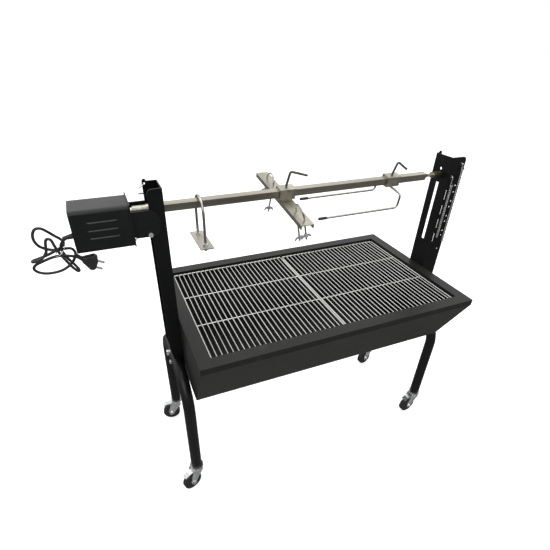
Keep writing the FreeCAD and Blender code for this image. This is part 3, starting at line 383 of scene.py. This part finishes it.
def make_tie():
    """Wire twist tie round the middle of the hank."""
    points = []
    for k in range(TIE_POINTS):
        turn = 2 * math.pi * k / TIE_POINTS
        points.append(TIE_MIDDLE + Vector((TIE_REACH.x * math.cos(turn),
                                           TIE_REACH.y * math.sin(turn),
                                           TIE_REACH.z * math.cos(turn))))
    return add_tube("hank_tie", points, TIE_WIRE_RADIUS, "dull_zinc", "base",
                    closed=True)[0]


# ---------------------------------------------------------------- louvres

LIP_DROPS = (0.0295, 0.0505, 0.0705)
LIP_INSET = 0.0365
LIP_LENGTH = 0.073
LIP_REACH = 0.0026
LIP_HEIGHT = 0.0036
LIP_HOLLOW = 0.0026
LIP_SHEET = 0.0009
LIP_SUNK = 0.0002
LIP_SPANS, LIP_TURNS = 24, 6
LIP_END_SHARE = 1 / 8


def lip_section(x, front, top, swell):
    """Points round one section of a lip: down its outer curve and back up its inner one."""
    turns = [math.pi / 2 * k / LIP_TURNS for k in range(LIP_TURNS + 1)]
    outer = [(x, front - LIP_REACH * swell * math.sin(turn),
              top - LIP_HEIGHT * (1 - math.cos(turn))) for turn in turns]
    inner = [(x, front - (LIP_REACH * swell - LIP_SHEET) * math.sin(turn),
              top - LIP_SHEET - LIP_HOLLOW * (1 - math.cos(turn))) for turn in turns]
    return outer + inner[::-1]


def make_louvres():
    """Raised lips pressed out of the motor cover's front over its three slots."""
    low, high = (Vector(c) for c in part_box("motor_cover"))
    bm = bmesh.new()
    for drop in LIP_DROPS:
        rows = []
        for i in range(LIP_SPANS + 1):
            along = i / LIP_SPANS
            rise = min(1, min(along, 1 - along) / LIP_END_SHARE)
            swell = math.sin(math.pi / 2 * rise)
            section = lip_section(low.x + LIP_INSET + along * LIP_LENGTH, low.y + LIP_SUNK,
                                  high.z - drop, swell)
            rows.append([bm.verts.new(point) for point in section])
        skin(bm, rows)
        bm.faces.new(rows[0])
        bm.faces.new(rows[-1])
    bmesh.ops.recalc_face_normals(bm, faces=bm.faces)
    # the lips take the lighter copy of the motor paint, a painted highlight
    add_mesh("motor_louvres", bm, "motor_painted_highlight", "base")


# ---------------------------------------------------------------- light and floor

DOME_RADIUS = 38
DOME_SEGMENTS, DOME_RINGS = 64, 32
DOME_VALUES = {
    "Base Color": (0, 0, 0, 1),
    "Specular IOR Level": 0,
    "Emission Color": (1, 1, 1, 1),
    "Emission Strength": 1.0,
}
FLOOR_HALF = 40.0
FLOOR_DROP = 0.0005
FLOOR_VALUES = {
    "Base Color": (0.93, 0.93, 0.93, 1),
    "Roughness": 0.9,
    "Emission Color": (1, 1, 1, 1),
    "Emission Strength": 0.55,
}
ROOM_BELOW, ROOM_ABOVE = (0.16, 0.16, 0.16), (0.95, 0.95, 0.95)
ROOM_STOPS = (0.0, 0.7)
WALL_COLOR = (1.0, 1.0, 1.0)
WALL_STARTS = (0.15, 0.45)
HORIZON = (-0.12, -0.04)
# Each lamp: name, place, the point that it lights, size and power in watts.
LAMPS = [
    ("Key", (-1.6, -2.2, 3.0), (0, 0, 0.7), (2.2, 2.2), 22),
    ("Top", (0.2, 0.4, 3.4), (0, 0, 0.6), (3.0, 2.0), 30),
    ("Fill", (2.8, -1.4, 2.0), (0, 0, 0.7), (1.6, 1.6), 8),
]


def stage_piece(name, bm, material_name, values):
    """One piece of the set, in a plain material with those shader values."""
    mesh = bpy.data.meshes.new(name)
    bm.to_mesh(mesh)
    bm.free()
    piece = bpy.data.objects.new(name, mesh)
    bpy.context.collection.objects.link(piece)
    material = bpy.data.materials.new(material_name)
    material.use_nodes = True
    shader = material.node_tree.nodes["Principled BSDF"]
    for socket, value in values.items():
        shader.inputs[socket].default_value = value
    piece.data.materials.append(material)
    return piece


def make_backdrop():
    """White dome seen behind the object from any side; it neither lights nor shades it."""
    bm = bmesh.new()
    bmesh.ops.create_uvsphere(bm, u_segments=DOME_SEGMENTS, v_segments=DOME_RINGS,
                              radius=DOME_RADIUS)
    dome = stage_piece("Backdrop", bm, "WhiteBackdrop", DOME_VALUES)
    dome.visible_diffuse = False
    dome.visible_glossy = False
    dome.visible_transmission = False
    dome.visible_shadow = False


def make_floor():
    bm = bmesh.new()
    corners = [(-1, -1), (1, -1), (1, 1), (-1, 1)]
    bm.faces.new([bm.verts.new((x * FLOOR_HALF, y * FLOOR_HALF, -FLOOR_DROP))
                  for x, y in corners])
    floor = stage_piece("Floor", bm, "PaleFloor", FLOOR_VALUES)
    # polished metal mirrors the dim room, not the bright floor
    floor.visible_glossy = False


def slope(tree, value, start, end):
    """0 up to start, 1 from end on, and a straight rise between."""
    node = tree.nodes.new("ShaderNodeMapRange")
    node.inputs["From Min"].default_value = start
    node.inputs["From Max"].default_value = end
    tree.links.new(value, node.inputs["Value"])
    return node.outputs["Result"]


def make_room():
    """Surroundings: a white wall of light on the far side, and elsewhere a dim room."""
    world = bpy.data.worlds.new("Studio")
    bpy.context.scene.world = world
    world.use_nodes = True
    tree = world.node_tree
    place = tree.nodes.new("ShaderNodeTexCoord")
    split = tree.nodes.new("ShaderNodeSeparateXYZ")
    tree.links.new(place.outputs["Generated"], split.inputs["Vector"])
    room = ramp(tree, split.outputs["Z"], ROOM_STOPS, (ROOM_BELOW, ROOM_ABOVE))
    both = tree.nodes.new("ShaderNodeMath")
    both.operation = "MULTIPLY"
    tree.links.new(slope(tree, split.outputs["Y"], *WALL_STARTS), both.inputs[0])
    tree.links.new(slope(tree, split.outputs["Z"], *HORIZON), both.inputs[1])
    background = tree.nodes["Background"]
    background.inputs["Strength"].default_value = 1.0
    tree.links.new(mix_color(tree, both.outputs["Value"], room, WALL_COLOR),
                   background.inputs["Color"])


def make_lamps():
    for name, spot, target, size, power in LAMPS:
        data = bpy.data.lights.new(name, "AREA")
        data.shape = "RECTANGLE"
        data.size, data.size_y = size
        data.energy = power
        lamp = bpy.data.objects.new(name, data)
        lamp.location = spot
        aim = Vector(target) - Vector(spot)
        lamp.rotation_euler = aim.to_track_quat("-Z", "Y").to_euler()
        bpy.context.collection.objects.link(lamp)


make_camera()
make_cord()
make_louvres()
paint_nodes()
make_backdrop()
make_floor()
make_room()
make_lamps()
bpy.context.scene.view_settings.view_transform = "Standard"
